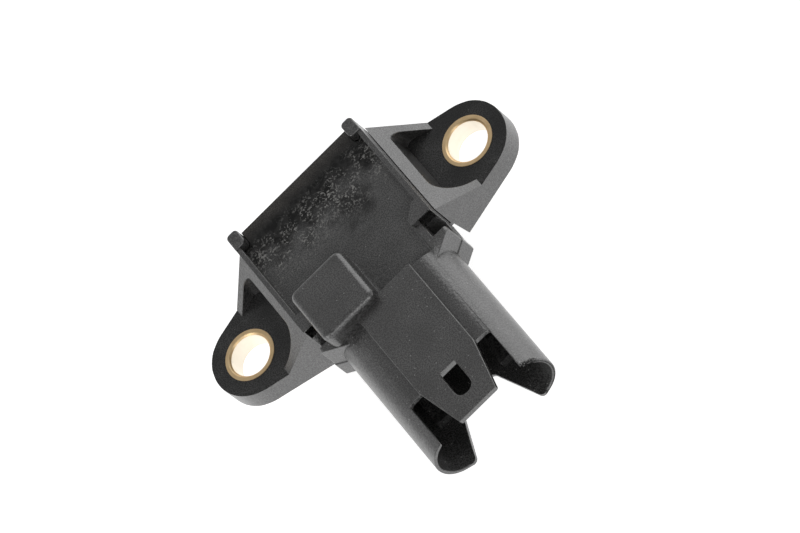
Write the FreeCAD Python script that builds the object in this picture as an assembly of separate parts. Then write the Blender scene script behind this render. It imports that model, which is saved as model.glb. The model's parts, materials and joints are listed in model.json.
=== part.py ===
import FreeCAD, Part
import math
import os

# Manifold absolute pressure sensor, in millimetres.
# Origin: midway between the two bolt axes, on the face of the ears that meets the manifold.
# +Z points away from the manifold, the connector opens toward -Y, the pressure port points to -Z.

os.makedirs("parts", exist_ok=True)
Vec = FreeCAD.Vector

# Bolt ears and their brass bushes
bolt_spacing = 46.0
ear_thickness = 4.0
ear_end_radius = 7.0
ear_end_inset = 0.4
ear_flare_deg = 15.5
bush_outside = 8.5
bush_bore = 6.7
bush_proud = 0.1
bush_groove_depth = 0.4
bush_groove_width = 1.2
bush_chamfer = 0.3

# Gussets between the ears and the tray that holds the sensor
tray_half_width = 13.25
gusset_rise = 6.25
gusset_run = 7.0
gusset_rib = 1.5
gusset_band = 1.5
gusset_rear_root = 10.6
pocket_draft = 0.75
pocket_rear_corner = 1.2
pocket_front_corner = 3.0
foot_clearance_height = 4.4
foot_lean = 0.55

# Tray floor and its stiffening ribs
tray_floor = 0.8
tray_rib = 1.4
tray_rib_offset = 6.0
tray_rib_setback = 0.4

# Pressure port
port_boss_radius = 9.5
port_land_radius = 5.8
port_length = 13.0
port_bore = 4.4
port_groove_radius = 4.1
port_groove_width = 2.8
port_groove_start = 4.4
port_tip_chamfer = 1.0
port_root_fillet = 0.6
oring_section = 2.4

# Seal bead between tray and sensor housing
bead_height = 0.45
bead_width = 1.6
bead_half_x = 11.0
bead_half_y = 7.6
bead_corner = 2.0

# Sensor housing box
housing_side_gap = 0.12
housing_height = 8.35
housing_rear = 11.1
housing_front = 12.0
housing_lower_corner = 0.8
rail_width = 0.8
rail_height = 1.2
potting_skin = 0.3
potting_rear_setback = 0.2

# Posts at the rear ends of the rails, and the clearance around them
post_length = 3.1
post_width = 2.1
post_extra_height = 0.3
post_corner = 0.7
post_edge = 0.2
post_notch_x = 0.05
post_notch_y = 0.3
post_notch_depth = 1.1
post_notch_corner = 0.8

# Corner pads, side walls of the neck and the snap windows
pad_start = 8.65
pad_nose = 0.7
neck_half_width = 10.62
neck_wall = 1.22
neck_wall_end = 16.9
pad_slope_end = 10.75
window_length = 3.5
latch_recess_top = 0.25
latch_recess_height = 2.2
latch_recess_depth = 2.4
latch_recess_web = 0.2

# Collar in front of the snap windows
collar_half_width = 13.15
collar_side_length = 0.8
collar_slant_deg = 33.6
collar_inner_x = 8.8
collar_drop = 0.8
collar_upper_height = 4.5
collar_lower_height = 3.5
collar_edge = 0.6
collar_step = 0.12

# Raised block on top of the neck
block_width = 10.3
block_length = 11.05
block_front = 18.1
block_centre_x = -5.98
block_height = 4.0
block_corner = 1.35
block_edge = 1.0

# Connector shroud
shroud_rear = 17.1
shroud_end = 43.87
shroud_half_width = 11.35
shroud_top_drop = 0.2
shroud_thickness = 9.7
shroud_corner = 4.8
shroud_wall = 0.9
mouth_wall = 0.55
mouth_lead = 2.5
socket_depth = 21.3

# Openings of the shroud
top_slot_half_width = 8.0
top_slot_length = 8.75
top_slot_corner = 0.4
bottom_notch_length = 9.1
bottom_notch_rear_half = 3.3
bottom_notch_mouth_half = 6.7
bottom_notch_corner = 1.4
bottom_notch_rim_corner = 1.0
key_inner = 5.3
key_outer = 7.6
key_height = 1.5
key_setback = 8.2

# Latch tongue over the shroud
tongue_half_width = 5.6
tongue_thickness = 1.0
tongue_tip_half = 3.65
tongue_taper_length = 8.8
tongue_overhang = 0.4
tongue_tip_corner = 0.4
tongue_edge = 0.15
tongue_window_width = 2.95
tongue_window_length = 5.75
tongue_window_tip = 2.95

# Chamber inside the housing
chamber_half_x = 10.4
chamber_rear = 9.2
chamber_front = 6.4
chamber_floor = 1.55
chamber_lower_inset = 1.0
cup_space = 2.4
chamber_port_bore = 5.0

# Circuit board and what it carries
board_thickness = 0.8
board_gap = 0.2
board_front_gap = 1.6
cup_outside_radius = 3.7
cup_wall = 0.8
gel_recess = 0.4
pedestal_size = 2.6
pedestal_height = 0.9
die_size = 1.9
die_height = 0.4
chip_size_x = 5.0
chip_size_y = 4.4
chip_height = 1.1
chip_from_end = 5.6
chip_from_rear = 5.6
capacitor_size_x = 2.0
capacitor_size_y = 1.25
capacitor_height = 1.2
resistor_size_x = 1.6
resistor_size_y = 0.8
resistor_height = 0.45
outer_column_from_end = 2.8
inner_column_from_end = 6.2
rear_row_from_rear = 3.4
front_row_from_rear = 7.4

# Blade terminals
terminal_pitch = 5.0
terminal_width = 1.5
terminal_thickness = 0.6
terminal_reach = 8.5
terminal_tip = 0.5
terminal_foot = 1.6
terminal_riser_gap = 0.5
solder_rim = 0.35
solder_height = 0.3

# Heights and places that follow from the sizes above
bolt_x = bolt_spacing / 2
ear_centre_x = bolt_x - ear_end_inset
gusset_top = ear_thickness + gusset_rise
gusset_toe_x = tray_half_width + gusset_run
tray_top = foot_clearance_height + tray_floor
housing_bottom = tray_top + bead_height
rail_top = housing_bottom + housing_height
housing_half_width = tray_half_width - housing_side_gap
rail_inner_x = housing_half_width - rail_width
surface_top = rail_top - rail_height
surface_floor = surface_top - potting_skin
window_front = housing_front + window_length
collar_top = rail_top - collar_drop
collar_split = collar_top - collar_upper_height
collar_bottom = collar_split - collar_lower_height
neck_inner_x = neck_half_width - neck_wall
shroud_top = rail_top - shroud_top_drop
shroud_mid = shroud_top - shroud_thickness / 2
socket_floor_y = -(shroud_end - socket_depth)
chamber_bottom = housing_bottom + chamber_floor
board_bottom = chamber_bottom + cup_space
board_top = board_bottom + board_thickness
board_half_x = chamber_half_x - board_gap
board_rear = chamber_rear - board_gap
board_front = chamber_front - board_front_gap
outer_column = outer_column_from_end - board_half_x
inner_column = inner_column_from_end - board_half_x
rear_row = board_rear - rear_row_from_rear
front_row = board_rear - front_row_from_rear
chip_centre = (board_half_x - chip_from_end, board_rear - chip_from_rear)
resistor_centre = (outer_column, rear_row)
capacitor_centres = {
    "supply": (inner_column, front_row), "output": (outer_column, front_row), "filter": (inner_column, rear_row)}


def box(x0, x1, y0, y1, z0, z1):
    return Part.makeBox(x1 - x0, y1 - y0, z1 - z0, Vec(x0, y0, z0))


def both_sides(shape):
    """The shape and its mirror image across the plane x = 0."""
    return shape.fuse(shape.mirror(Vec(0, 0, 0), Vec(1, 0, 0)))


def rounded_wire(corners, place):
    """Closed wire through corners (a, b, radius); place turns (a, b) into a point in space."""
    starts, edges = [], []
    count = len(corners)
    for i in range(count):
        a, b, radius = corners[i]
        before, after = corners[i - 1], corners[(i + 1) % count]
        u1 = Vec(before[0] - a, before[1] - b, 0)
        u2 = Vec(after[0] - a, after[1] - b, 0)
        if radius <= 0:
            starts.append((Vec(a, b, 0), None, Vec(a, b, 0)))
            continue
        half = u1.getAngle(u2) / 2
        u1.normalize()
        u2.normalize()
        reach = radius / math.tan(half)
        middle = (u1 + u2).normalize()
        hub = Vec(a, b, 0) + middle * (radius / math.sin(half))
        starts.append((Vec(a, b, 0) + u1 * reach, hub - middle * radius, Vec(a, b, 0) + u2 * reach))
    for i in range(count):
        first, crown, last = starts[i]
        if crown is not None:
            edges.append(Part.Arc(place(first), place(crown), place(last)).toShape())
        following = starts[(i + 1) % count][0]
        if (following - last).Length > 1e-6:
            edges.append(Part.LineSegment(place(last), place(following)).toShape())
    return Part.Wire(edges)


def plan_prism(corners, z0, z1):
    wire = rounded_wire(corners, lambda p: Vec(p.x, p.y, z0))
    return Part.Face(wire).extrude(Vec(0, 0, z1 - z0))


def along_y(corners, y0, y1):
    """Extrude an outline drawn in x and z from y0 to y1."""
    wire = rounded_wire(corners, lambda p: Vec(p.x, y0, p.y))
    return Part.Face(wire).extrude(Vec(0, y1 - y0, 0))


def along_x(corners, x0, x1):
    """Extrude an outline drawn in y and z from x0 to x1."""
    wire = rounded_wire(corners, lambda p: Vec(x0, p.x, p.y))
    return Part.Face(wire).extrude(Vec(x1 - x0, 0, 0))


def turned(profile):
    """Solid of revolution about Z from (radius, z) points."""
    points = [Vec(r, 0, z) for r, z in profile]
    wire = Part.makePolygon(points + [points[0]])
    return Part.Face(wire).revolve(Vec(0, 0, 0), Vec(0, 0, 1), 360)


def centred_box(centre, size_x, size_y, z0, z1):
    x, y = centre
    return box(x - size_x / 2, x + size_x / 2, y - size_y / 2, y + size_y / 2, z0, z1)


def softened(shape, radius, wanted):
    """Fillet the edges that the test picks."""
    edges = [e for e in shape.Edges if wanted(e)]
    return shape.makeFillet(radius, edges)


def near(value, target):
    return abs(value - target) < 1e-4


def flat_at(edge, z):
    """True where the whole edge lies at this height."""
    box_of_edge = edge.BoundBox
    return near(box_of_edge.ZMin, z) and near(box_of_edge.ZMax, z)


def save(name, shape):
    solid = shape.Solids[0] if len(shape.Solids) == 1 else shape
    solid.exportStep(os.path.join("parts", name + ".step"))
    print(name, len(shape.Solids), round(shape.Volume, 3), shape.isValid())


# Brass bushes

def bush():
    outer, inner = bush_outside / 2, bush_bore / 2
    top = ear_thickness + bush_proud
    groove = outer - bush_groove_depth
    low = (ear_thickness - bush_groove_width) / 2
    high = low + bush_groove_width
    return turned([
        (inner + bush_chamfer, 0), (outer, 0), (outer, low), (groove, low), (groove, high), (outer, high),
        (outer, top), (inner + bush_chamfer, top), (inner, top - bush_chamfer), (inner, bush_chamfer)])


# Bracket: tray floor, ears with gussets, and the pressure port

def ear_outline(x_start, inset):
    """Front half of the ear in plan from x_start outward, its side moved in by inset."""
    flare = math.radians(ear_flare_deg)
    radius = ear_end_radius - inset
    touch_x = ear_centre_x + radius * math.sin(flare)
    touch_y = radius * math.cos(flare)
    root_y = touch_y + (touch_x - x_start) * math.tan(flare)
    return radius, touch_x, touch_y, root_y


def rear_rib_y(x, inset):
    """Rear side of the gusset, which spreads more than the front side."""
    toe_y = ear_outline(gusset_toe_x, 0)[3]
    slope = (gusset_rear_root - toe_y) / gusset_run
    return toe_y + slope * (gusset_toe_x - x) - inset * math.hypot(1, slope)


def ear_block():
    radius, touch_x, touch_y, root_y = ear_outline(tray_half_width, 0)
    low = [Vec(tray_half_width, -root_y, 0), Vec(touch_x, -touch_y, 0)]
    high = [Vec(touch_x, touch_y, 0), Vec(gusset_toe_x, rear_rib_y(gusset_toe_x, 0), 0),
            Vec(tray_half_width, gusset_rear_root, 0)]
    edges = [
        Part.LineSegment(low[0], low[1]).toShape(),
        Part.Arc(low[1], Vec(ear_centre_x + radius, 0, 0), high[0]).toShape(),
        Part.LineSegment(high[0], high[1]).toShape(),
        Part.LineSegment(high[1], high[2]).toShape(),
        Part.LineSegment(high[2], low[0]).toShape()]
    return Part.Face(Part.Wire(edges)).extrude(Vec(0, 0, gusset_top))


def gusset_pocket():
    """Space between the two ribs of a gusset; its wall at the tray leans back as it rises."""
    far = gusset_toe_x + ear_end_radius
    wires = []
    for z in (ear_thickness, gusset_top + 1):
        lean = pocket_draft * (z - ear_thickness) / gusset_rise
        x_in = tray_half_width + gusset_band + pocket_draft - lean
        root = ear_outline(x_in, gusset_rib)[3]
        end = ear_outline(far, gusset_rib)[3]
        corners = [(x_in, -root, pocket_front_corner), (far, -end, 0), (far, rear_rib_y(far, gusset_rib), 0),
                   (x_in, rear_rib_y(x_in, gusset_rib), pocket_rear_corner)]
        wires.append(rounded_wire(corners, lambda p, level=z: Vec(p.x, p.y, level)))
    return Part.makeLoft(wires, True, True)


def ear():
    body = ear_block()
    far = bolt_spacing
    slope = along_y([
        (tray_half_width, gusset_top, 0), (gusset_toe_x, ear_thickness, 0), (far, ear_thickness, 0),
        (far, gusset_top + 1, 0), (tray_half_width, gusset_top + 1, 0)], -far, far)
    foot = along_y([
        (tray_half_width - 1, foot_clearance_height, 0), (tray_half_width + foot_lean / 4, foot_clearance_height, 0),
        (tray_half_width + foot_lean, 0, 0), (tray_half_width + foot_lean, -1, 0), (tray_half_width - 1, -1, 0)],
        -far, far)
    body = body.cut(slope).cut(gusset_pocket()).cut(foot)
    bush_hole = bush()
    core = Part.makeCylinder(bush_outside / 2 - bush_groove_depth, 3 * gusset_top, Vec(0, 0, -gusset_top))
    hole = bush_hole.fuse(core)
    hole.translate(Vec(bolt_x, 0, 0))
    return body.cut(hole)


def port():
    outer = port_land_radius
    tip = -port_length
    groove_top = -port_groove_start
    groove_low = groove_top - port_groove_width
    profile = [
        (0, tray_top), (port_boss_radius, tray_top), (port_boss_radius, 0),
        (outer + port_root_fillet, 0), (outer, -port_root_fillet),
        (outer, groove_top), (port_groove_radius, groove_top), (port_groove_radius, groove_low),
        (outer, groove_low), (outer, tip + port_tip_chamfer), (outer - port_tip_chamfer, tip), (0, tip)]
    return turned(profile)


def bracket():
    half_y = ear_outline(tray_half_width, 0)[3]
    body = box(-tray_half_width, tray_half_width, -half_y, gusset_rear_root, foot_clearance_height, tray_top)
    body = body.fuse(both_sides(ear()))
    ribs = []
    reach = tray_half_width + foot_lean
    for y in (-tray_rib_offset, tray_rib_offset):
        ribs.append(box(-reach, reach, y - tray_rib / 2, y + tray_rib / 2, tray_rib_setback, tray_top))
    ribs.append(box(-tray_rib / 2, tray_rib / 2, -half_y, gusset_rear_root, tray_rib_setback, tray_top))
    for rib in ribs:
        body = body.fuse(rib)
    body = body.fuse(port())
    bore = Part.makeCylinder(port_bore / 2, port_length + tray_top + 2, Vec(0, 0, -port_length - 1))
    return body.cut(bore).removeSplitter()


def port_oring():
    centre_z = -port_groove_start - port_groove_width / 2
    return Part.makeTorus(port_groove_radius + oring_section / 2, oring_section / 2, Vec(0, 0, centre_z))


def seal_bead():
    def ring(half_x, half_y, corner):
        return plan_prism([(-half_x, -half_y, corner), (half_x, -half_y, corner), (half_x, half_y, corner),
                           (-half_x, half_y, corner)], tray_top, housing_bottom)
    inner = ring(bead_half_x - bead_width, bead_half_y - bead_width, bead_corner - bead_width / 2)
    return ring(bead_half_x, bead_half_y, bead_corner).cut(inner)


# Sensor housing with its connector

def shroud_outline(inset):
    half_w = shroud_half_width - inset
    half_h = shroud_thickness / 2 - inset
    corner = shroud_corner - inset
    low, high = shroud_mid - half_h, shroud_mid + half_h
    return [(-half_w, low, corner), (half_w, low, corner), (half_w, high, corner), (-half_w, high, corner)]


def socket():
    """Hollow of the shroud, which opens out a little at the mouth."""
    lead_end = -shroud_end + mouth_lead
    hollow = along_y(shroud_outline(shroud_wall), lead_end, socket_floor_y)
    wires = [rounded_wire(shroud_outline(inset), lambda p, depth=y: Vec(p.x, depth, p.y))
             for inset, y in ((mouth_wall, -shroud_end), (shroud_wall, lead_end))]
    front = along_y(shroud_outline(mouth_wall), -shroud_end - 1, -shroud_end)
    return hollow.fuse(Part.makeLoft(wires, True, True)).fuse(front)


def surface_outline(rear_y):
    """Outline of the sunk top surface between the rails, pads and neck walls."""
    half = [(rail_inner_x, rear_y, 0), (rail_inner_x, -pad_start, 0), (rail_inner_x - pad_nose, -pad_start, 0),
            (neck_inner_x, -pad_slope_end, 0), (neck_inner_x, -shroud_rear, 0)]
    return half + [(-x, y, r) for x, y, r in reversed(half)]


def post_place(side):
    x0, x1 = housing_half_width - post_width, housing_half_width
    y0, y1 = housing_rear - post_length, housing_rear
    return [(side * x0, y0, post_corner), (side * x1, y0, 0), (side * x1, y1, post_corner),
            (side * x0, y1, post_corner)]


def post_notch(side):
    x0 = housing_half_width - post_width - post_notch_x
    y0 = housing_rear - post_length - post_notch_y
    return plan_prism([(side * x0, y0, post_notch_corner), (side * rail_inner_x, y0, 0),
                       (side * rail_inner_x, housing_rear + 1, 0), (side * x0, housing_rear + 1, 0)],
                      surface_top - post_notch_depth, rail_top + 1)


def collar(extra, z0, z1):
    x_in, x_out = collar_inner_x, collar_half_width + extra
    y_side = -(window_front + collar_side_length + extra)
    y_in = y_side - (x_out - x_in) * math.tan(math.radians(collar_slant_deg))
    return plan_prism([(x_in, -window_front, 0), (x_in, y_in, 0), (x_out, y_side, 0),
                       (x_out, -window_front, 0)], z0, z1)


def housing_core():
    width = housing_half_width
    core = box(-width, width, -housing_front, housing_rear, housing_bottom, rail_top)
    core = softened(core, housing_lower_corner,
                    lambda e: flat_at(e, housing_bottom) and near(e.BoundBox.YMax, -housing_front))
    core = softened(core, post_corner,
                    lambda e: near(e.BoundBox.YMin, housing_rear) and near(e.BoundBox.XMin, e.BoundBox.XMax))
    back = -housing_front + housing_lower_corner + 0.5
    neck = box(-neck_half_width, neck_half_width, -shroud_rear, back, housing_bottom, collar_top)
    core = core.fuse(neck)
    wall = box(neck_inner_x, neck_half_width, -neck_wall_end, back, housing_bottom, collar_top)
    shelf = box(neck_inner_x, width, -window_front, back, collar_bottom, collar_split)
    upper = softened(collar(0, collar_split, collar_top), collar_edge,
                     lambda e: flat_at(e, collar_top) and near(e.BoundBox.XMin, collar_half_width))
    lower = collar(collar_step, collar_bottom, collar_split)
    for piece in (wall, shelf, upper, lower):
        core = core.fuse(both_sides(piece))
    return core


def top_openings():
    """Slot cut in the top wall of the shroud, open at the mouth."""
    rear = -(shroud_end - top_slot_length)
    half = top_slot_half_width
    return plan_prism([(-half, -shroud_end - 1, 0), (half, -shroud_end - 1, 0), (half, rear, top_slot_corner),
                       (-half, rear, top_slot_corner)], shroud_mid, rail_top)


def bottom_notch():
    rear = -(shroud_end - bottom_notch_length)
    mouth, back = bottom_notch_mouth_half, bottom_notch_rear_half
    side, rim = mouth + 2 * bottom_notch_rim_corner, bottom_notch_rim_corner
    return plan_prism([(-mouth, -shroud_end, rim), (-side, -shroud_end, 0), (-side, -shroud_end - 1, 0),
                       (side, -shroud_end - 1, 0), (side, -shroud_end, 0), (mouth, -shroud_end, rim),
                       (back, rear, bottom_notch_corner), (-back, rear, bottom_notch_corner)],
                      shroud_mid - shroud_thickness, shroud_mid)


def tongue():
    tip = -(shroud_end + tongue_overhang)
    taper = tip + tongue_taper_length
    wide, narrow = tongue_half_width, tongue_tip_half
    corner = tongue_tip_corner
    plate = plan_prism([(-wide, -shroud_rear, 0), (-wide, taper, 0), (-narrow, tip, corner), (narrow, tip, corner),
                        (wide, taper, 0), (wide, -shroud_rear, 0)], shroud_top, shroud_top + tongue_thickness)
    plate = softened(plate, tongue_edge, lambda e: flat_at(e, shroud_top + tongue_thickness))
    side = tongue_window_width / 2
    rear = tip + tongue_window_tip + tongue_window_length
    window = plan_prism([(-side, tip + tongue_window_tip, side * 0.95), (side, tip + tongue_window_tip, side * 0.95),
                         (side, rear, 0), (-side, rear, 0)], shroud_mid, rail_top + 1)
    return plate, window


def raised_block():
    x0, x1 = block_centre_x - block_width / 2, block_centre_x + block_width / 2
    y0, y1 = -block_front, -block_front + block_length
    top = surface_top + block_height
    block = plan_prism([(x0, y0, block_corner), (x1, y0, block_corner), (x1, y1, block_corner),
                        (x0, y1, block_corner)], collar_top - collar_edge, top)
    return softened(block, block_edge, lambda e: flat_at(e, top))


def chamber():
    inset = chamber_lower_inset
    upper = box(-chamber_half_x, chamber_half_x, -chamber_front, chamber_rear, board_bottom, surface_floor)
    lower = box(-chamber_half_x + inset, chamber_half_x - inset, -board_front + inset, chamber_rear - inset,
                chamber_bottom, board_bottom)
    inlet = Part.makeCylinder(chamber_port_bore / 2, chamber_floor + 1, Vec(0, 0, housing_bottom - 0.5))
    return upper, lower, inlet


def terminal(x):
    """Blade in the socket, a run through the front wall, a riser and a foot on the board."""
    t = terminal_thickness
    low, high = shroud_mid - t / 2, shroud_mid + t / 2
    riser_front = -(board_front + terminal_riser_gap + t)
    foot_end = -board_front + terminal_foot
    tip = socket_floor_y - terminal_reach
    bend = t / 2
    side = [(tip, low, 0), (riser_front + t, low, bend + t / 2), (riser_front + t, board_top, 0),
            (foot_end, board_top, 0), (foot_end, board_top + t, 0), (riser_front, board_top + t, bend),
            (riser_front, high, 0), (tip, high, 0)]
    blade = along_x(side, x - terminal_width / 2, x + terminal_width / 2)
    cut = terminal_tip
    for s in (-1, 1):
        edge = x + s * terminal_width / 2
        corner = plan_prism([(edge, tip, 0), (edge - s * cut, tip, 0), (edge, tip + cut, 0)], low - 1, high + 1)
        blade = blade.cut(corner)
    return blade


def solder_joint(x):
    foot_end = -board_front + terminal_foot
    pad = centred_box((x, foot_end - terminal_foot / 2), terminal_width + 2 * solder_rim,
                      terminal_foot + 2 * solder_rim - 0.2, board_top, board_top + solder_height)
    return pad


terminals = {"ground": terminal(-terminal_pitch), "supply": terminal(0), "signal": terminal(terminal_pitch)}
solder = Part.makeCompound([
    solder_joint(x).cut(blade) for x, blade in
    zip((-terminal_pitch, 0, terminal_pitch), terminals.values())])


def sensor_housing():
    core = housing_core()
    core = core.fuse(along_y(shroud_outline(0), -shroud_end, -shroud_rear + 1))
    core = core.cut(plan_prism(surface_outline(housing_rear + 1), surface_floor, rail_top + 1))
    for side in (-1, 1):
        core = core.cut(post_notch(side))
        post = plan_prism(post_place(side), surface_top - post_notch_depth - 1, rail_top + post_extra_height)
        post = softened(post, post_edge, lambda e: flat_at(e, rail_top + post_extra_height))
        core = core.fuse(post)
        x0, x1 = side * neck_half_width, side * (housing_half_width - latch_recess_web)
        top = rail_top - latch_recess_top
        core = core.cut(box(min(x0, x1), max(x0, x1), -housing_front - 0.01, -housing_front + latch_recess_depth,
                            top - latch_recess_height, top))
    core = core.fuse(raised_block())
    plate, window = tongue()
    core = core.cut(socket())
    core = core.cut(top_openings()).cut(bottom_notch())
    core = core.fuse(plate).cut(window)
    key_top = shroud_mid - shroud_thickness / 2 + shroud_wall + key_height
    key = box(key_inner, key_outer, -(shroud_end - key_setback), socket_floor_y,
              shroud_mid - shroud_thickness / 2 + shroud_wall / 2, key_top)
    core = core.fuse(both_sides(key))
    for cavity in chamber():
        core = core.cut(cavity)
    for blade in terminals.values():
        core = core.cut(blade)
    return core.removeSplitter()


# Pieces inside the chamber

def board():
    return box(-board_half_x, board_half_x, -board_front, board_rear, board_bottom, board_top)


def gel_cup():
    outer = Part.makeCylinder(cup_outside_radius, cup_space, Vec(0, 0, chamber_bottom))
    inner = Part.makeCylinder(cup_outside_radius - cup_wall, cup_space, Vec(0, 0, chamber_bottom))
    return outer.cut(inner)


pedestal = centred_box((0, 0), pedestal_size, pedestal_size, board_bottom - pedestal_height, board_bottom)
die = centred_box((0, 0), die_size, die_size, board_bottom - pedestal_height - die_height,
                  board_bottom - pedestal_height)
chip = centred_box(chip_centre, chip_size_x, chip_size_y, board_top, board_top + chip_height)
resistor = centred_box(resistor_centre, resistor_size_x, resistor_size_y, board_top,
                       board_top + resistor_height)
capacitors = {name: centred_box(centre, capacitor_size_x, capacitor_size_y, board_top,
                                board_top + capacitor_height)
              for name, centre in capacitor_centres.items()}


def protective_gel():
    gel = Part.makeCylinder(cup_outside_radius - cup_wall, cup_space - gel_recess,
                            Vec(0, 0, chamber_bottom + gel_recess))
    return gel.cut(pedestal).cut(die)


def potting():
    """Fills the chamber above the board and lies as a skin over the whole sunk surface."""
    upper = chamber()[0]
    skin = plan_prism(surface_outline(housing_rear - potting_rear_setback), surface_floor, surface_top)
    fill = upper.fuse(skin).removeSplitter().cut(raised_block())
    for side in (-1, 1):
        fill = fill.cut(post_notch(side))
    for piece in [board(), chip, resistor, solder] + list(capacitors.values()) + list(terminals.values()):
        fill = fill.cut(piece)
    return fill


save("sensor_housing", sensor_housing())
save("mounting_bracket", bracket())
for name, side in (("bush_right", 1), ("bush_left", -1)):
    placed = bush()
    placed.translate(Vec(side * bolt_x, 0, 0))
    save(name, placed)
save("port_oring", port_oring())
save("seal_bead", seal_bead())
save("potting", potting())
save("circuit_board", board())
save("gel_cup", gel_cup())
save("glass_pedestal", pedestal)
save("pressure_die", die)
save("protective_gel", protective_gel())
save("signal_chip", chip)
save("bias_resistor", resistor)
for name, shape in capacitors.items():
    save("capacitor_" + name, shape)
for name, shape in terminals.items():
    save("terminal_" + name, shape)
save("solder_joints", solder)
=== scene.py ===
import bmesh
import bpy
import json
import math
from mathutils import Matrix, Vector, noise

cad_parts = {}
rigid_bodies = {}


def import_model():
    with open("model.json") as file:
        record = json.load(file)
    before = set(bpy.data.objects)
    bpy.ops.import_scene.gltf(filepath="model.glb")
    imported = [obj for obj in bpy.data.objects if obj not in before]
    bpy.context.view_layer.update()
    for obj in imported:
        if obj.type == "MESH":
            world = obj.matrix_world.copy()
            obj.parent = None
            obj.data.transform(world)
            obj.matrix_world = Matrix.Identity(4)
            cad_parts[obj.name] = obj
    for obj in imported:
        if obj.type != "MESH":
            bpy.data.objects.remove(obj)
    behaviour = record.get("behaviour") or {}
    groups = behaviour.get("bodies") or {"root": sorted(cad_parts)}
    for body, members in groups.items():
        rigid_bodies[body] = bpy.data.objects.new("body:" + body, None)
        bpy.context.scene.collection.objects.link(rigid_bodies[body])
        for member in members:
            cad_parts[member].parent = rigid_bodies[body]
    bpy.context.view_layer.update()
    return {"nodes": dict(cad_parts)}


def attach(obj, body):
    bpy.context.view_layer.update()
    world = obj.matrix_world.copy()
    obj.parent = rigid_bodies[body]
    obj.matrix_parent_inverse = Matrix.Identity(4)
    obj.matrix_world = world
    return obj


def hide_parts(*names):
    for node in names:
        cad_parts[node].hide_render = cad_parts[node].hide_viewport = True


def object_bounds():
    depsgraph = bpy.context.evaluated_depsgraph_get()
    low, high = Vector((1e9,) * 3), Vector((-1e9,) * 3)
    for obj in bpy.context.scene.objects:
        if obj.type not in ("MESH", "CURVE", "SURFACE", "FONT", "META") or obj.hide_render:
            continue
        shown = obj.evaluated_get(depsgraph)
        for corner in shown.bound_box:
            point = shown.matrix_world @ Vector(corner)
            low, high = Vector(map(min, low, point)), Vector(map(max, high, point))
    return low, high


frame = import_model()
mm = 0.001
smoothAngle = math.radians(35)
print("frame loaded:", len(frame["nodes"]), "nodes")


# modelling helpers

def deselectAll():
    if bpy.context.object and bpy.context.object.mode != "OBJECT":
        bpy.ops.object.mode_set(mode="OBJECT")
    bpy.ops.object.select_all(action="DESELECT")


def pick(piece):
    deselectAll()
    piece.select_set(True)
    bpy.context.view_layer.objects.active = piece


def clearSelection(mesh):
    for part in (*mesh.vertices, *mesh.edges, *mesh.polygons):
        part.select = False


def applyModifiers(piece):
    pick(piece)
    for modifier in list(piece.modifiers):
        bpy.ops.object.modifier_apply(modifier=modifier.name)


copyPlan = {"mergeGap": 0.0005, "flatAngle": 0.3}        # mm and degrees


def copyOfNode(nodeName, newName):
    # merged copy of a CAD node with its flat faces whole again
    pick(frame["nodes"][nodeName])
    bpy.ops.object.duplicate(linked=False)
    piece = bpy.context.object
    piece.name = newName
    piece.data.name = newName
    for key in list(piece.keys()):
        del piece[key]
    bpy.ops.object.parent_clear(type="CLEAR_KEEP_TRANSFORM")
    bpy.ops.object.mode_set(mode="EDIT")
    bpy.ops.mesh.select_all(action="SELECT")
    bpy.ops.mesh.remove_doubles(threshold=copyPlan["mergeGap"] * mm)
    bpy.ops.mesh.dissolve_limited(angle_limit=math.radians(copyPlan["flatAngle"]))
    bpy.ops.object.mode_set(mode="OBJECT")
    bpy.ops.mesh.customdata_custom_splitnormals_clear()
    return piece


def insideBox(point, corners):
    low, high = corners
    return all(low[i] * mm <= point[i] <= high[i] * mm for i in range(3))


def touchesBox(points, boxes):
    return any(insideBox(point, corners) for point in points for corners in boxes)


def levelNormals(piece):
    # flat faces stay flat and curved ones even, whatever their triangles
    pick(piece)
    bpy.ops.object.shade_smooth_by_angle(angle=smoothAngle)
    level = piece.modifiers.new("flatFaces", "WEIGHTED_NORMAL")
    level.mode = "FACE_AREA_WITH_ANGLE"
    level.weight = 100
    level.keep_sharp = True
    applyModifiers(piece)


def roundEdges(piece, plan):
    # bevels the sharp outer edges: not those in plan["keep"], a third as wide in plan["fine"]
    bpy.ops.object.mode_set(mode="EDIT")
    bpy.ops.mesh.select_mode(type="EDGE")
    bpy.ops.mesh.select_all(action="DESELECT")
    bpy.ops.mesh.edges_select_sharp(sharpness=math.radians(plan["angle"]))
    bpy.ops.object.mode_set(mode="OBJECT")
    mesh = piece.data
    sharp = [edge.index for edge in mesh.edges if edge.select]
    clearSelection(mesh)
    shell = bmesh.new()
    shell.from_mesh(mesh)
    shell.edges.ensure_lookup_table()
    outward = [index for index in sharp if shell.edges[index].is_convex]   # inner corners stay crisp
    shell.free()
    for weight, fine in ((0.33, True), (1.0, False)):
        for index in outward:
            edge = mesh.edges[index]
            ends = [mesh.vertices[v].co for v in edge.vertices]
            edge.select = not touchesBox(ends, plan["keep"]) and touchesBox(ends, plan["fine"]) == fine
        bpy.ops.object.mode_set(mode="EDIT")
        bpy.ops.transform.edge_bevelweight(value=weight)
        bpy.ops.mesh.select_all(action="DESELECT")
        bpy.ops.object.mode_set(mode="OBJECT")
    bevel = piece.modifiers.new("edges", "BEVEL")
    bevel.width = plan["width"] * mm
    bevel.segments = 2
    bevel.limit_method = "WEIGHT"
    bevel.use_clamp_overlap = False
    applyModifiers(piece)
    levelNormals(piece)


def wear(piece, material):
    piece.data.materials.clear()
    piece.data.materials.append(material)
    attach(piece, "root")


def finishFaces(piece, material, corners):
    # gives the faces whose middle lies in the box another finish
    piece.data.materials.append(material)
    for face in piece.data.polygons:
        if insideBox(face.center, corners):
            face.material_index = len(piece.data.materials) - 1


# shader helpers

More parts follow.
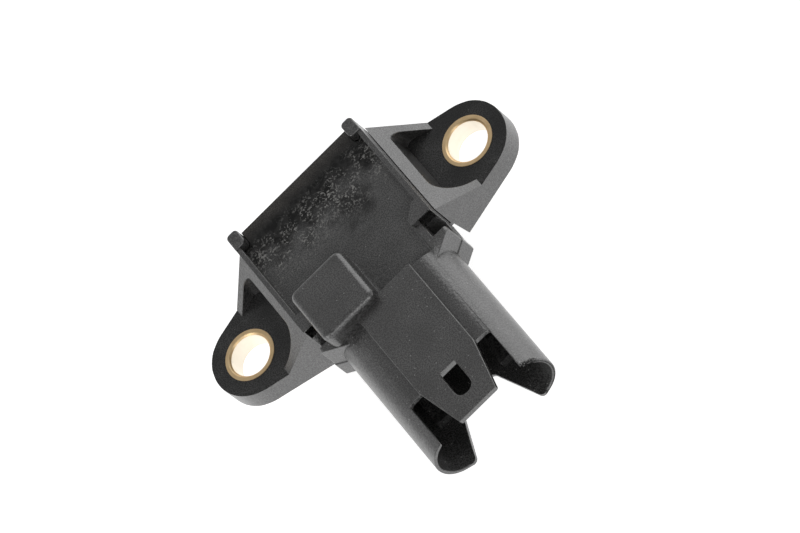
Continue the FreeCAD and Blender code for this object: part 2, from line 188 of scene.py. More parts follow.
def newMaterial(name):
    material = bpy.data.materials.new(name)
    material.use_nodes = True
    nodes = material.node_tree.nodes
    return material, nodes, material.node_tree.links, nodes["Principled BSDF"]


def feed(links, value, socket):
    # the value may be another socket, a number or a plain colour
    if isinstance(value, bpy.types.NodeSocket):
        links.new(value, socket)
    elif isinstance(value, tuple):
        socket.default_value = (*value, 1)
    else:
        socket.default_value = value


def combine(nodes, links, operation, *values):
    node = nodes.new("ShaderNodeMath")
    node.operation = operation
    for value, socket in zip(values, node.inputs):
        feed(links, value, socket)
    return node.outputs[0]


def mapRange(nodes, links, value, source, target=(0.0, 1.0)):
    node = nodes.new("ShaderNodeMapRange")
    for name, end in zip(("From Min", "From Max", "To Min", "To Max"), (*source, *target)):
        node.inputs[name].default_value = end
    links.new(value, node.inputs["Value"])
    return node.outputs["Result"]


def noiseTexture(nodes, links, place, scale, detail, distortion=0.0):
    texture = nodes.new("ShaderNodeTexNoise")
    texture.inputs["Detail"].default_value = detail
    texture.inputs["Distortion"].default_value = distortion
    links.new(place, texture.inputs["Vector"])
    feed(links, scale, texture.inputs["Scale"])
    return texture.outputs["Fac"]


def colourRamp(nodes, links, factor, stops):
    ramp = nodes.new("ShaderNodeValToRGB")
    for element, (position, colour) in zip(ramp.color_ramp.elements, stops):
        element.position = position
        element.color = (*colour, 1)
    links.new(factor, ramp.inputs["Fac"])
    return ramp.outputs["Color"]


def blendColour(nodes, links, factor, a, b):
    # b over a; each may be a socket or a plain colour
    blend = nodes.new("ShaderNodeMix")
    blend.data_type = "RGBA"
    links.new(factor, blend.inputs["Factor"])
    feed(links, a, blend.inputs["A"])
    feed(links, b, blend.inputs["B"])
    return blend.outputs["Result"]


def toned(nodes, links, colour, tone):
    scaled = nodes.new("ShaderNodeVectorMath")
    scaled.operation = "SCALE"
    links.new(colour, scaled.inputs[0])
    links.new(tone, scaled.inputs["Scale"])
    return scaled.outputs["Vector"]


def bumpFrom(nodes, links, height, strength, distance, under=None):
    bump = nodes.new("ShaderNodeBump")
    bump.inputs["Strength"].default_value = strength
    bump.inputs["Distance"].default_value = distance
    links.new(height, bump.inputs["Height"])
    if under:
        links.new(under, bump.inputs["Normal"])
    return bump.outputs["Normal"]


def textureGroup(nodes, tree, values=None):
    node = nodes.new("ShaderNodeGroup")
    node.node_tree = tree
    for name, value in (values or {}).items():
        node.inputs[name].default_value = value
    return node.outputs


def newGroup(name, given, made):
    # a node group with its named number inputs and outputs
    group = bpy.data.node_groups.new(name, "ShaderNodeTree")
    for socketName, value in given.items():
        socket = group.interface.new_socket(name=socketName, in_out="INPUT", socket_type="NodeSocketFloat")
        socket.default_value = value
    for socketName in made:
        group.interface.new_socket(name=socketName, in_out="OUTPUT", socket_type="NodeSocketFloat")
    return group, group.nodes, group.links


# grain, blotches, specks and scuffs of every moulded or cast face

grainPlan = {
    "given": {"Grain Scale": 2600.0, "Blotch Scale": 160.0, "Speck Scale": 1400.0, "Speck Size": 0.1},
    "pixelScale": 5000.0, "blotchShare": 0.05, "toneFrom": (0.45, 0.55), "tone": (0.1, 1.9),
    "scuffScale": 210.0, "scuffWidth": (0.001, 0.012), "scuffedFrom": (0.5, 0.6)}


def mouldedGrain(plan):
    made = ("Height", "Blotch", "Specks", "Tone", "Scuffs")
    group, nodes, links = newGroup("mouldedGrain", plan["given"], made)
    source, sink = nodes.new("NodeGroupInput"), nodes.new("NodeGroupOutput")
    place = nodes.new("ShaderNodeTexCoord").outputs["Object"]
    fine = noiseTexture(nodes, links, place, source.outputs["Grain Scale"], 3.0)
    blotch = noiseTexture(nodes, links, place, source.outputs["Blotch Scale"], 4.0)
    pixel = noiseTexture(nodes, links, place, plan["pixelScale"], 1.0)
    scuff = noiseTexture(nodes, links, place, plan["scuffScale"], 1.0)
    specks = nodes.new("ShaderNodeTexVoronoi")
    links.new(place, specks.inputs["Vector"])
    links.new(source.outputs["Speck Scale"], specks.inputs["Scale"])
    chance = nodes.new("ShaderNodeSeparateColor")
    links.new(specks.outputs["Color"], chance.inputs["Color"])
    reach = combine(nodes, links, "MULTIPLY", source.outputs["Speck Size"], chance.outputs["Red"])
    speck = combine(nodes, links, "LESS_THAN", specks.outputs["Distance"], reach)
    mixed = nodes.new("ShaderNodeMix")
    mixed.data_type = "FLOAT"
    mixed.inputs["Factor"].default_value = plan["blotchShare"]
    links.new(pixel, mixed.inputs["A"])
    links.new(blotch, mixed.inputs["B"])
    tone = mapRange(nodes, links, mixed.outputs["Result"], plan["toneFrom"], plan["tone"])
    offMiddle = combine(nodes, links, "ABSOLUTE", combine(nodes, links, "SUBTRACT", scuff, 0.5))
    line = mapRange(nodes, links, offMiddle, plan["scuffWidth"], (1.0, 0.0))
    gate = mapRange(nodes, links, blotch, plan["scuffedFrom"])
    scuffs = combine(nodes, links, "MULTIPLY", line, gate)
    for name, value in zip(made, (fine, blotch, speck, tone, scuffs)):
        links.new(value, sink.inputs[name])
    return group


# where the cast resin looks wet, where its rear lip is, its painted highlights on the crinkles and its flow
# lines; places in mm

resinPlan = {
    "wobbleScale": 330, "wobbleFrom": (0.3, 0.7), "wobble": (-2.2, 2.2), "rear": (0.2, 5.2),
    "spot": (4.6, 0.3, 12.8), "spotReach": (1.5, 5.5), "spotWet": 0.8,
    "lipWobbleScale": 500, "lipWobble": (-0.5, 0.5), "lip": (7.9, 10.3),
    "glintPaintScale": 2600, "glintPaintTwist": 0.6, "glintPaintFrom": (0.53, 0.62),
    "patchScale": 520, "patchFrom": (0.4, 0.55),
    "glintPaintedFront": (-3.0, 1.0), "glintPaintedRear": (5.0, 8.5),
    "darkScale": 900, "darkTwist": 0.8, "darkFrom": (0.4, 0.6),
    "flowScale": 480.0, "flowBend": 7.0, "flowDetail": 0.7, "flowReach": (1.6, 3.2)}


def resinMarks(plan):
    made = ("Wet", "Lip", "GlintPaints", "Dark", "Flow")
    group, nodes, links = newGroup("resinMarks", {}, made)
    sink = nodes.new("NodeGroupOutput")
    place = nodes.new("ShaderNodeTexCoord").outputs["Object"]
    axes = nodes.new("ShaderNodeSeparateXYZ")
    links.new(place, axes.inputs["Vector"])
    depth = axes.outputs["Y"]

    def inMm(key):
        return tuple(value * mm for value in plan[key])

    def cloud(scale, detail, source, target=(0.0, 1.0), distortion=0.0):
        texture = noiseTexture(nodes, links, place, scale, detail, distortion)
        return mapRange(nodes, links, texture, source, target)

    wobble = cloud(plan["wobbleScale"], 4, plan["wobbleFrom"], inMm("wobble"))
    rearPart = mapRange(nodes, links, combine(nodes, links, "ADD", depth, wobble), inMm("rear"))
    toSpot = nodes.new("ShaderNodeVectorMath")
    toSpot.operation = "DISTANCE"
    toSpot.inputs[1].default_value = inMm("spot")
    links.new(place, toSpot.inputs[0])
    gap = toSpot.outputs["Value"]
    nearSpot = combine(nodes, links, "SUBTRACT", gap, wobble)
    spotPart = mapRange(nodes, links, nearSpot, inMm("spotReach"), (plan["spotWet"], 0.0))
    wet = combine(nodes, links, "MAXIMUM", rearPart, spotPart)
    lipWobble = cloud(plan["lipWobbleScale"], 2, plan["wobbleFrom"], inMm("lipWobble"))
    lip = mapRange(nodes, links, combine(nodes, links, "ADD", depth, lipWobble), inMm("lip"))
    behind = mapRange(nodes, links, depth, inMm("glintPaintedFront"))
    before = mapRange(nodes, links, depth, inMm("glintPaintedRear"), (1.0, 0.0))
    band = combine(nodes, links, "MULTIPLY", behind, before)
    patches = cloud(plan["patchScale"], 3, plan["patchFrom"])
    # the crinkles of the glossy residue, with pale painted highlights on them in a band across the middle
    crinkles = cloud(plan["glintPaintScale"], 2, plan["glintPaintFrom"], distortion=plan["glintPaintTwist"])
    glintPaints = combine(nodes, links, "MULTIPLY", combine(nodes, links, "MULTIPLY", crinkles, patches), band)
    dark = cloud(plan["darkScale"], 3, plan["darkFrom"], distortion=plan["darkTwist"])
    wave = nodes.new("ShaderNodeTexWave")
    wave.inputs["Scale"].default_value = plan["flowScale"]
    wave.inputs["Distortion"].default_value = plan["flowBend"]
    wave.inputs["Detail Scale"].default_value = plan["flowDetail"]
    links.new(place, wave.inputs["Vector"])
    flowArea = mapRange(nodes, links, gap, inMm("flowReach"), (1.0, 0.0))
    flow = combine(nodes, links, "MULTIPLY", wave.outputs["Fac"], flowArea)
    for name, value in zip(made, (wet, lip, glintPaints, dark, flow)):
        links.new(value, sink.inputs[name])
    return group


grain = mouldedGrain(grainPlan)
marks = resinMarks(resinPlan)


# finishes; bump depths in mm

blotchStops = (0.36, 0.64)


def grainFor(nodes, style):
    # the shared grain with this finish's own values
    return textureGroup(nodes, grain, {
        "Grain Scale": style["grainScale"],
        "Blotch Scale": style["blotchScale"],
        "Speck Size": style["speckSize"]})


def dressShader(links, shader, colour, rough, normal):
    links.new(colour, shader.inputs["Base Color"])
    links.new(rough, shader.inputs["Roughness"])
    links.new(normal, shader.inputs["Normal"])


def glossLevel(shader, style):
    shader.inputs["Specular IOR Level"].default_value = style["specular"]
    shader.inputs["IOR"].default_value = style["ior"]


def grainedPlastic(name, style):
    material, nodes, links, shader = newMaterial(name)
    texture = grainFor(nodes, style)
    base = colourRamp(nodes, links, texture["Blotch"], zip(blotchStops, (style["dark"], style["pale"])))
    colour = toned(nodes, links, base, texture["Tone"])
    if "scuff" in style:
        colour = blendColour(nodes, links, texture["Scuffs"], colour, style["scuff"])
    colour = blendColour(nodes, links, texture["Specks"], colour, style["speck"])
    rough = mapRange(nodes, links, texture["Height"], (0.0, 1.0), style["roughness"])
    normal = bumpFrom(nodes, links, texture["Height"], style["bump"], style["bumpDepth"] * mm)
    dressShader(links, shader, colour, rough, normal)
    glossLevel(shader, style)
    return material


def castResin(name, style):
    # matt in front, mottled and wet-looking at the rear left, a browner strip along the rear edge
    material, nodes, links, shader = newMaterial(name)
    texture = grainFor(nodes, style)
    spots = textureGroup(nodes, marks)
    softTone = mapRange(nodes, links, texture["Tone"], (0.0, 2.0), style["tone"])

    def mottled(dark, pale):
        blend = blendColour(nodes, links, texture["Blotch"], dark, pale)
        return toned(nodes, links, blend, softTone)

    dry = mottled(style["dryDark"], style["dryPale"])
    dry = blendColour(nodes, links, texture["Specks"], dry, style["speck"])
    wet = blendColour(nodes, links, spots["Dark"], style["wetDark"], style["wetPale"])
    colour = blendColour(nodes, links, spots["Wet"], dry, wet)
    colour = blendColour(nodes, links, spots["Lip"], colour, mottled(style["lipDark"], style["lipPale"]))
    # pale painted highlights on the crinkles of the residue
    colour = blendColour(nodes, links, spots["GlintPaints"], colour, style["glintPaint"])
    rough = mapRange(nodes, links, spots["Wet"], (0.0, 1.0), style["roughness"])
    normal = None
    heights = (texture["Height"], spots["Dark"], spots["Flow"])
    for height, (strength, depth) in zip(heights, (style["fineBump"], style["wetBump"], style["flowBump"])):
        normal = bumpFrom(nodes, links, height, strength, depth * mm, normal)
    dressShader(links, shader, colour, rough, normal)
    glossLevel(shader, style)
    return material


def brushedMetal(name, style):
    material, nodes, links, shader = newMaterial(name)
    place = nodes.new("ShaderNodeTexCoord").outputs["Object"]
    streaks = noiseTexture(nodes, links, place, style["scale"], 5.0)
    colour = colourRamp(nodes, links, streaks, ((0.0, style["dark"]), (1.0, style["pale"])))
    rough = mapRange(nodes, links, streaks, (0.0, 1.0), style["roughness"])
    normal = bumpFrom(nodes, links, streaks, style["bump"], style["bumpDepth"] * mm)
    dressShader(links, shader, colour, rough, normal)
    shader.inputs["Metallic"].default_value = 1.0
    return material


housingPlastic = grainedPlastic("housingPlastic", {
    "dark": (0.026, 0.0255, 0.025), "pale": (0.036, 0.0355, 0.035), "speck": (0.22, 0.22, 0.218),
    "grainScale": 2600, "blotchScale": 220, "speckSize": 0.145, "roughness": (0.24, 0.36),
    "bump": 1.0, "bumpDepth": 0.055, "specular": 1.0, "ior": 1.6})
bracketPlastic = grainedPlastic("bracketPlastic", {
    "dark": (0.028, 0.0275, 0.027), "pale": (0.04, 0.0395, 0.039), "speck": (0.26, 0.26, 0.26),
    "grainScale": 2200, "blotchScale": 260, "speckSize": 0.1, "roughness": (0.24, 0.36),
    "bump": 1.0, "bumpDepth": 0.05, "specular": 1.0, "ior": 1.6})
# smoother plastic for the ear tops, its colour darkened as painted shade of the low pockets
smoothShadedPlastic = grainedPlastic("smoothShadedPlastic", {
    "dark": (0.008, 0.008, 0.008), "pale": (0.024, 0.0238, 0.0235),
    "speck": (0.16, 0.16, 0.155), "scuff": (0.045, 0.045, 0.044),
    "grainScale": 1500, "blotchScale": 190, "speckSize": 0.11, "roughness": (0.26, 0.38),
    "bump": 0.2, "bumpDepth": 0.02, "specular": 0.55, "ior": 1.5})
tornPlastic = grainedPlastic("tornPlastic", {
    "dark": (0.05, 0.05, 0.049), "pale": (0.16, 0.16, 0.157), "speck": (0.3, 0.3, 0.3),
    "grainScale": 3000, "blotchScale": 900, "speckSize": 0.1, "roughness": (0.45, 0.6),
    "bump": 0.6, "bumpDepth": 0.05, "specular": 0.7, "ior": 1.5})
# a darker plastic for the inside of the shroud: painted shade in the hollow
hollowShadePlastic = grainedPlastic("hollowShadePlastic", {
    "dark": (0.016, 0.016, 0.0155), "pale": (0.026, 0.0258, 0.0255), "speck": (0.16, 0.16, 0.155),
    "grainScale": 1800, "blotchScale": 260, "speckSize": 0.16, "roughness": (0.5, 0.62),
    "bump": 0.4, "bumpDepth": 0.03, "specular": 0.4, "ior": 1.5})
pottingResin = castResin("pottingResin", {
    "dryDark": (0.06, 0.06, 0.0595), "dryPale": (0.09, 0.0895, 0.089), "speck": (0.24, 0.24, 0.235),
    "wetDark": (0.001, 0.001, 0.001), "wetPale": (0.014, 0.0137, 0.0134), "glintPaint": (0.2, 0.197, 0.19),
    "lipDark": (0.03, 0.028, 0.026), "lipPale": (0.055, 0.051, 0.047),
    "grainScale": 1500, "blotchScale": 300, "speckSize": 0.12, "tone": (0.6, 1.4), "roughness": (0.3, 0.16),
    "fineBump": (0.35, 0.04), "wetBump": (0.4, 0.08), "flowBump": (0.5, 0.06), "specular": 0.26, "ior": 1.6})
ringRubber = grainedPlastic("ringRubber", {
    "dark": (0.02, 0.02, 0.02), "pale": (0.03, 0.03, 0.03), "speck": (0.05, 0.05, 0.05),
    "grainScale": 1200, "blotchScale": 300, "speckSize": 0.03, "roughness": (0.5, 0.65),
    "bump": 0.2, "bumpDepth": 0.02, "specular": 0.5, "ior": 1.5})
beadSilicone = grainedPlastic("beadSilicone", {
    "dark": (0.16, 0.16, 0.16), "pale": (0.24, 0.24, 0.235), "speck": (0.3, 0.3, 0.3),
    "grainScale": 900, "blotchScale": 200, "speckSize": 0.03, "roughness": (0.4, 0.55),
    "bump": 0.3, "bumpDepth": 0.05, "specular": 0.5, "ior": 1.5})
# paler brass for the bores: painted reflection of the pale floor
boreReflectionBrass = brushedMetal("boreReflectionBrass", {
    "dark": (0.86, 0.77, 0.62), "pale": (0.97, 0.9, 0.78), "scale": 500, "roughness": (0.28, 0.4),
    "bump": 0.3, "bumpDepth": 0.01})
turnedBrass = brushedMetal("turnedBrass", {
    "dark": (0.7, 0.48, 0.25), "pale": (0.88, 0.68, 0.41), "scale": 900, "roughness": (0.34, 0.5),
    "bump": 0.3, "bumpDepth": 0.01})
tinPlate = brushedMetal("tinPlate", {
    "dark": (0.6, 0.59, 0.57), "pale": (0.78, 0.77, 0.75), "scale": 700, "roughness": (0.25, 0.4),
    "bump": 0.3, "bumpDepth": 0.008})
print("materials ready")


# the housing, copied from the frame with its edges rounded, a worn rim and a hollow painted darker as shade;
# boxes in mm

housingEdges = {
    "width": 0.17, "angle": 40,
    "keep": [((-7.7, -35.7, 4), (-5.2, -22.5, 7)), ((5.2, -35.7, 4), (7.7, -22.5, 7)),
             ((-7.4, -44, 3.9), (-6.2, -42.8, 5.3)), ((6.2, -44, 3.9), (7.4, -42.8, 5.3))],
    "fine": [((-14, 7, 11), (-10, 12, 15)), ((10, 7, 11), (14, 12, 15)),
             ((-13.3, -12.1, 11.4), (-10, -9.4, 14.1)), ((10, -12.1, 11.4), (13.3, -9.4, 14.1))]}
rimWear = {
    "low": (5.9, -43.95, 11.9), "high": (10.7, -43.4, 14.1),        # the box that holds the worn rim
    "lobe": (5.0, 9.5), "mostCorners": 8,       # only small faces beyond this x and above this z are cut
    "cuts": 3, "bite": 0.43, "lift": 0.16, "pitch": 2.7, "finePitch": 5.0, "chewGain": 3.2, "fineGain": 0.4,
    "fadeReach": 0.5, "nearReach": 0.3, "seed": 7.7}
hollowShadePlan = {"axisHalf": 6.55, "axisHeight": 8.95, "reach": 4.4, "front": -43.75, "rear": -22.0}


def cutRim(piece, plan):
    # a finer mesh along the rim of the right lobe
    mesh = piece.data
    corners = (plan["low"], plan["high"])
    pick(piece)
    bpy.ops.mesh.customdata_custom_splitnormals_clear()
    clearSelection(mesh)
    for face in mesh.polygons:
        ends = [mesh.vertices[index].co / mm for index in face.vertices]
        onLobe = min(end.x for end in ends) > plan["lobe"][0] and min(end.z for end in ends) > plan["lobe"][1]
        face.select = onLobe and len(ends) <= plan["mostCorners"]
    bpy.ops.object.mode_set(mode="EDIT")
    bpy.ops.mesh.bisect(plane_co=(0, plan["high"][1] * mm, 0), plane_no=(0, 1, 0), threshold=1e-7)
    bpy.ops.mesh.select_all(action="DESELECT")
    bpy.ops.mesh.select_mode(type="FACE")
    bpy.ops.object.mode_set(mode="OBJECT")
    for face in mesh.polygons:
        face.select = insideBox(face.center, corners)
    bpy.ops.object.mode_set(mode="EDIT")
    bpy.ops.mesh.subdivide(number_cuts=plan["cuts"])
    bpy.ops.mesh.select_all(action="DESELECT")
    bpy.ops.object.mode_set(mode="OBJECT")


def tearRim(piece, plan):
    # the ragged, chewed rim over the right lobe of the mouth
    cutRim(piece, plan)
    low, high = plan["low"], plan["high"]
    pitch, finePitch = plan["pitch"], plan["finePitch"]
    for vertex in piece.data.vertices:
        if not insideBox(vertex.co, (low, high)):
            continue
        x, y, z = (value / mm for value in vertex.co)
        fade = min(1.0, (x - low[0]) / plan["fadeReach"], (high[0] - x) / plan["fadeReach"])
        near = min(1.0, (high[1] - y) / plan["nearReach"])
        chew = noise.noise(Vector((x * pitch, z * pitch, plan["seed"])))
        fine = noise.noise(Vector((x * finePitch, y * finePitch, z * finePitch)))
        bite = min(1.0, abs(chew) * plan["chewGain"] + plan["fineGain"] * abs(fine))
        vertex.co.y += plan["bite"] * fade * near * bite * mm
        vertex.co.z += plan["lift"] * fade * near * fine * mm
    levelNormals(piece)


def shadeHollow(piece, material, plan):
    # the shroud's inner walls, which lie close to the long axis of its oval, take a darker colour: painted
    # shade inside the hollow
    piece.data.materials.append(material)
    half = plan["axisHalf"]
    for face in piece.data.polygons:
        x, y, z = (value / mm for value in face.center)
        fromAxis = math.hypot(x - max(-half, min(half, x)), z - plan["axisHeight"])
        if plan["front"] < y < plan["rear"] and fromAxis < plan["reach"]:
            face.material_index = len(piece.data.materials) - 1


housing = copyOfNode("sensor_housing", "housingShell")
roundEdges(housing, housingEdges)
tearRim(housing, rimWear)
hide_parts("sensor_housing")
wear(housing, housingPlastic)
shadeHollow(housing, hollowShadePlastic, hollowShadePlan)
finishFaces(housing, tornPlastic, (rimWear["low"], rimWear["high"]))
print("housing ready")


# the bracket, its ear tops smoother than the rest and painted darker as the shade of their low pockets
# between the gussets; boxes in mm

bracketEdges = {
    "width": 0.12, "angle": 38, "fine": [],
    "keep": [((17, -5.5, -1), (29, 5.5, 5)), ((-29, -5.5, -1), (-17, 5.5, 5)), ((-7, -7, -14), (7, 7, 0.1)),
             ((-13.4, -12, 5), (-13.1, 12, 10.6)), ((13.1, -12, 5), (13.4, 12, 10.6))]}
shadedEarTops = [((-29.5, -8, 3.95), (-14.5, 8, 4.05)), ((14.5, -8, 3.95), (29.5, 8, 4.05))]

bracket = copyOfNode("mounting_bracket", "bracketShell")
roundEdges(bracket, bracketEdges)
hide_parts("mounting_bracket")
wear(bracket, bracketPlastic)
# the ear tops darker: painted shade of the pockets between the gussets, on a smoother real finish
for corners in shadedEarTops:
    finishFaces(bracket, smoothShadedPlastic, corners)
print("bracket ready")


# the cast resin, with a rise along the walls, rounded open edges and low wrinkles; places in mm

fillPlan = {
    "top": 12.8, "rings": (0.1, 0.1, 0.15), "rise": 0.22, "blockRise": 0.07, "riseReach": 0.36,
    "drop": 0.1, "dropReach": 0.13, "openRear": 10.8, "openCorner": (10.9, 7.6),
    "blockLow": (-11.3, -18.2), "blockHigh": (-0.7, -6.9),
    "grid": 0.45, "gridShift": 0.37, "gridSpans": ((-13, 13), (-20, 12)),
    "wrinkle": 0.022, "wrinklePitch": 0.8, "seed": 3.1, "calmRim": (0.4, 0.8), "calmFront": (-1, 4, 0.15)}


def nearOutline(point, outline):
    # distance to the nearest stretch of the outline, and how high the resin climbs there
    best, climb = 99.0, 0.0
    for start, end, wall in outline:
        span = end - start
        along = max(0.0, min(1.0, (point - start).dot(span) / span.length_squared))
        gap = (point - start - span * along).length
        if gap < best:
            best, climb = gap, wall
    return best, climb


def topFaces(mesh, height):
    level = [face for face in mesh.polygons if abs(face.center.z - height) < 0.01 * mm]
    return [face for face in level if face.normal.z > 0.99]


def climbAt(spot, plan):
    # none at the open rear edge and corners, little at the raised block, full at the rails
    cornerX, cornerY = plan["openCorner"]
    if spot.y > plan["openRear"] or (spot.y > cornerY and abs(spot.x) > cornerX):
        return 0.0
    low, high = plan["blockLow"], plan["blockHigh"]
    atBlock = low[0] < spot.x < high[0] and low[1] < spot.y < high[1]
    return plan["blockRise"] if atBlock else plan["rise"]


def topOutline(mesh, faces, plan):
    # the edges round the top, each with the height that the resin climbs there
    counts = {}
    for face in faces:
        for key in face.edge_keys:
            counts[key] = counts.get(key, 0) + 1
    outline = []
    for key in (key for key, count in counts.items() if count == 1):
        start, end = (Vector(mesh.vertices[index].co[:2]) / mm for index in key)
        if (end - start).length > 1e-4:
            outline.append((start, end, climbAt((start + end) / 2, plan)))
    return outline


def gridTop(piece, faces, plan):
    # rings along the outline, then a fine grid, on the top faces alone
    clearSelection(piece.data)
    for face in faces:
        face.select = True
    bpy.ops.object.mode_set(mode="EDIT")
    bpy.ops.mesh.select_mode(type="FACE")
    for thickness in plan["rings"]:
        bpy.ops.mesh.inset(thickness=thickness * mm, use_even_offset=True)
    bpy.ops.mesh.hide(unselected=True)
    for axis, (low, high) in enumerate(plan["gridSpans"]):
        for step in range(int((high - low) / plan["grid"])):
            spot, normal = [0, 0, 0], [0, 0, 0]
            spot[axis] = (low + (step + plan["gridShift"]) * plan["grid"]) * mm
            normal[axis] = 1
            bpy.ops.mesh.select_all(action="SELECT")
            bpy.ops.mesh.bisect(plane_co=spot, plane_no=normal, threshold=1e-7)
    bpy.ops.mesh.reveal(select=False)
    bpy.ops.object.mode_set(mode="OBJECT")


def castSurface(piece, plan):
    mesh = piece.data
    height = plan["top"] * mm
    top = topFaces(mesh, height)
    outline = topOutline(mesh, top, plan)
    gridTop(piece, top, plan)
    rimStart, rimSpan = plan["calmRim"]
    frontStart, frontSpan, frontLeast = plan["calmFront"]
    for index in {index for face in topFaces(mesh, height) for index in face.vertices}:
        vertex = mesh.vertices[index]
        point = Vector(vertex.co[:2]) / mm
        gap, climb = nearOutline(point, outline)
        lift = 0.0
        if climb and gap < plan["riseReach"]:
            lift = climb * (1 - gap / plan["riseReach"]) ** 2
        if not climb and gap < plan["dropReach"]:
            lift = -plan["drop"] * (1 - gap / plan["dropReach"]) ** 2
        calm = min(1.0, max(0.0, (gap - rimStart) / rimSpan))
        calm *= min(1.0, max(frontLeast, (point.y - frontStart) / frontSpan))
        pitch = plan["wrinklePitch"]
        lift += plan["wrinkle"] * calm * noise.noise(Vector((point.x * pitch, point.y * pitch, plan["seed"])))
        vertex.co.z += lift * mm
    pick(piece)
    bpy.ops.object.shade_smooth_by_angle(angle=smoothAngle)


potting = copyOfNode("potting", "pottingFill")
castSurface(potting, fillPlan)
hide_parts("potting")
wear(potting, pottingResin)
print("resin ready")


# the brass bushes, their rims broken and their bores painted paler as a painted reflection of the pale floor;
# sizes in mm

bushPlan = {"width": 0.05, "angle": 38, "keep": [], "fine": [], "boreReflectionReach": 3.6, "upright": 0.3,
            "axes": {"bush_left": ("bushLeft", -23), "bush_right": ("bushRight", 23)}}

for nodeName, (newName, axisX) in bushPlan["axes"].items():
    bush = copyOfNode(nodeName, newName)
    roundEdges(bush, bushPlan)
    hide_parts(nodeName)
    wear(bush, turnedBrass)
    # the bore faces take the paler brass, a painted reflection of the floor
    bush.data.materials.append(boreReflectionBrass)
    for face in bush.data.polygons:
        reach = math.hypot(face.center.x - axisX * mm, face.center.y)
        if abs(face.normal.z) < bushPlan["upright"] and reach < bushPlan["boreReflectionReach"] * mm:
            face.material_index = 1
print("bushes ready")


# finish of the nodes that stay as they are

outerFinish = {"port_oring": ringRubber, "seal_bead": beadSilicone, "terminal_ground": tinPlate,
               "terminal_supply": tinPlate, "terminal_signal": tinPlate}
innerFinish = {
    "boardMask": (("circuit_board",), (0.03, 0.13, 0.06), (0.05, 0.19, 0.09)),
    "cupCeramic": (("gel_cup",), (0.74, 0.73, 0.69), (0.85, 0.84, 0.8)),
    "pedestalGlass": (("glass_pedestal",), (0.5, 0.58, 0.55), (0.7, 0.76, 0.73)),
    "dieSilicon": (("pressure_die",), (0.2, 0.21, 0.25), (0.35, 0.36, 0.4)),
    "clearGel": (("protective_gel",), (0.6, 0.6, 0.58), (0.72, 0.72, 0.7)),
    "chipEpoxy": (("signal_chip",), (0.02, 0.02, 0.02), (0.04, 0.04, 0.04)),
    "resistorGlaze": (("bias_resistor",), (0.03, 0.03, 0.04), (0.06, 0.06, 0.07)),
    "capacitorCeramic": (("capacitor_supply", "capacitor_output", "capacitor_filter"),
                         (0.36, 0.25, 0.14), (0.5, 0.37, 0.22)),
    "solderTin": (("solder_joints",), (0.5, 0.5, 0.5), (0.66, 0.66, 0.66))}


def paintNode(nodeName, material):
    node = frame["nodes"][nodeName]
    node.data.materials.clear()
    node.data.materials.append(material)


for nodeName, material in outerFinish.items():
    paintNode(nodeName, material)
for materialName, (nodeNames, dark, pale) in innerFinish.items():
    finish = grainedPlastic(materialName, {
        "dark": dark, "pale": pale, "speck": pale, "grainScale": 1500, "blotchScale": 400, "speckSize": 0.02,
        "roughness": (0.35, 0.5), "bump": 0.2, "bumpDepth": 0.02, "specular": 0.5, "ior": 1.5})
    for nodeName in nodeNames:
        paintNode(nodeName, finish)
print("nodes painted")


# the floor

floorPlan = {"size": 3.0, "colour": (0.9, 0.9, 0.9), "roughness": 0.9, "specular": 0.1,
             "shownToCamera": 0.62, "shownInGloss": 0.71}


def floorMaterial(plan):
    material, nodes, links, shader = newMaterial("floorPaper")
    shader.inputs["Roughness"].default_value = plan["roughness"]
    shader.inputs["Specular IOR Level"].default_value = plan["specular"]
    shader.inputs["Base Color"].default_value = (*plan["colour"], 1)
    path = nodes.new("ShaderNodeLightPath").outputs
    mirrored = combine(nodes, links, "MAXIMUM", path["Is Glossy Ray"], path["Is Transmission Ray"])
    inGloss = combine(nodes, links, "MULTIPLY", mirrored, plan["shownInGloss"])
    strength = combine(nodes, links, "MULTIPLY_ADD", path["Is Camera Ray"], plan["shownToCamera"], inGloss)
    glow = nodes.new("ShaderNodeEmission")
    links.new(strength, glow.inputs["Strength"])
    total = nodes.new("ShaderNodeAddShader")
    links.new(shader.outputs["BSDF"], total.inputs[0])
    links.new(glow.outputs["Emission"], total.inputs[1])
    links.new(total.outputs["Shader"], nodes["Material Output"].inputs["Surface"])
    return material


deselectAll()
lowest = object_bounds()[0][2]
bpy.ops.mesh.primitive_plane_add(size=floorPlan["size"], location=(0, 0, lowest))
floor = bpy.context.object
floor.name = "floorSheet"
floor.data.materials.append(floorMaterial(floorPlan))


# the soft studio: sky, four round lamps and the camera; degrees and metres

skyPlan = {"horizon": 0.5, "zenith": 0.38, "low": 0.3, "high": 0.6}


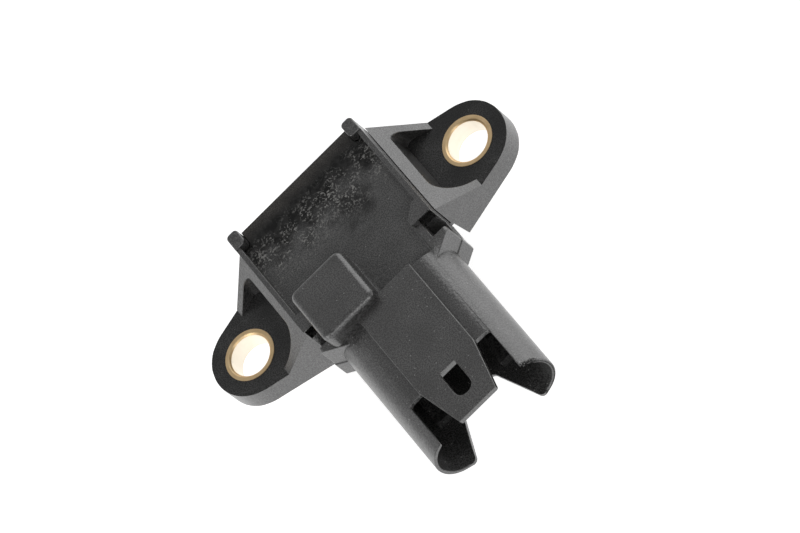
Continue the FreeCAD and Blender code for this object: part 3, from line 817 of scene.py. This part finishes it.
def makeSky(plan):
    # paler near the horizon than overhead; a camera ray sees plain white
    world = bpy.data.worlds.new("studioWorld")
    bpy.context.scene.world = world
    world.use_nodes = True
    nodes, links = world.node_tree.nodes, world.node_tree.links
    background = nodes["Background"]
    split = nodes.new("ShaderNodeSeparateXYZ")
    links.new(nodes.new("ShaderNodeTexCoord").outputs["Generated"], split.inputs["Vector"])
    heights, strengths = (plan["low"], plan["high"]), (plan["horizon"], plan["zenith"])
    fade = mapRange(nodes, links, split.outputs["Z"], heights, strengths)
    fade.node.interpolation_type = "SMOOTHSTEP"
    shown = nodes.new("ShaderNodeMix")
    shown.data_type = "FLOAT"
    shown.inputs["B"].default_value = 1.0
    links.new(nodes.new("ShaderNodeLightPath").outputs["Is Camera Ray"], shown.inputs["Factor"])
    links.new(fade, shown.inputs["A"])
    links.new(shown.outputs["Result"], background.inputs["Strength"])
    background.inputs["Color"].default_value = (1, 1, 1, 1)


lampPlan = {
    "frontLamp": {"azimuth": 5, "elevation": 30, "distance": 0.9, "size": 0.5, "power": 1.2},
    "frontLeftLamp": {"azimuth": -60, "elevation": 22, "distance": 0.9, "size": 0.6, "power": 2.2},
    "backLeftLamp": {"azimuth": -130, "elevation": 24, "distance": 0.9, "size": 0.8, "power": 0.3},
    "backRightLamp": {"azimuth": 130, "elevation": 25, "distance": 0.9, "size": 1.04, "power": 3.4}}
lampCentre = Vector((0, -0.015, 0))


def aimAt(azimuth, elevation, roll=0.0):
    around = Matrix.Rotation(math.radians(azimuth), 3, "Z")
    tilt = Matrix.Rotation(math.radians(90 - elevation), 3, "X")
    return around @ tilt @ Matrix.Rotation(math.radians(roll), 3, "Z")


def placeLamp(name, plan):
    turn = aimAt(plan["azimuth"], plan["elevation"])
    place = lampCentre + turn @ Vector((0, 0, 1)) * plan["distance"]
    deselectAll()
    bpy.ops.object.light_add(type="AREA", location=place, rotation=turn.to_euler())
    lamp = bpy.context.object
    lamp.name = name
    lamp.data.shape = "DISK"
    lamp.data.size = plan["size"]
    lamp.data.energy = plan["power"]


makeSky(skyPlan)
for lampName, lampStyle in lampPlan.items():
    placeLamp(lampName, lampStyle)

cameraPlan = {"azimuth": 8.78, "elevation": 51.7, "roll": -51.45, "place": (0.080596, -0.510351, 0.647552),
              "lens": 247.5, "sensor": 36, "clip": (0.01, 20)}
cameraTurn = aimAt(cameraPlan["azimuth"], cameraPlan["elevation"], cameraPlan["roll"])
deselectAll()
bpy.ops.object.camera_add(location=cameraPlan["place"], rotation=cameraTurn.to_euler())
camera = bpy.context.object
camera.name = "photoCamera"
camera.data.lens = cameraPlan["lens"]
camera.data.sensor_width = cameraPlan["sensor"]
camera.data.clip_start, camera.data.clip_end = cameraPlan["clip"]
scene = bpy.context.scene
scene.camera = camera
scene.view_settings.view_transform = "Standard"
print("floor, light and camera ready")
